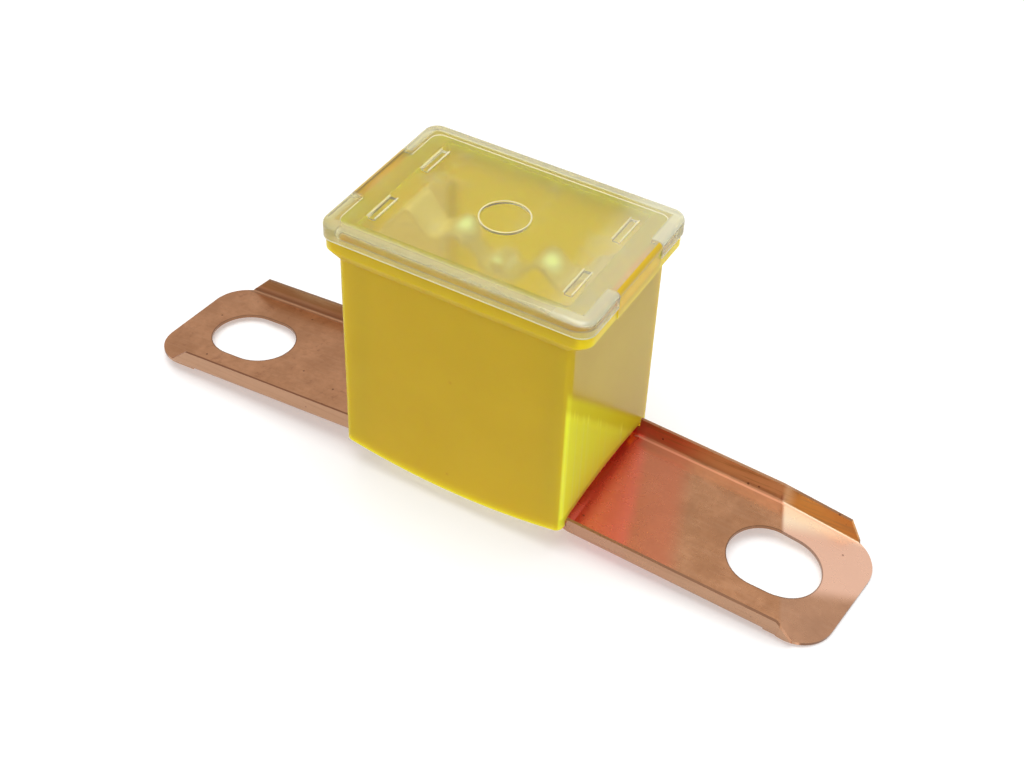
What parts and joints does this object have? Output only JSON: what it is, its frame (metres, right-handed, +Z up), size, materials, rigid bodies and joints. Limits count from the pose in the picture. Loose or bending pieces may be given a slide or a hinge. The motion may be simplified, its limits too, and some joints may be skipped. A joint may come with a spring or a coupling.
{
  "type": "bolt-down cartridge fuse",
  "caption": "Bolt-down automotive cartridge fuse: translucent yellow box with a clear clip-on cover and copper terminals, each with a slotted stud hole, running out under its ends",
  "frame": {"origin": "bottom centre of the bounding box", "axes": "X along the two terminals, Y across them, Z up through the cover"},
  "size_m": [0.056, 0.014, 0.0214],
  "materials": {
    "yellow_plastic": "translucent gloss",
    "clear_plastic": "clear gloss",
    "copper": "satin rolled copper",
    "tin": "dull"
  },
  "bodies": {
    "root": {"housing": "yellow_plastic", "cover": "clear_plastic", "fuse_element": "copper", "tin_slug": "tin"}
  },
  "joints": []
}
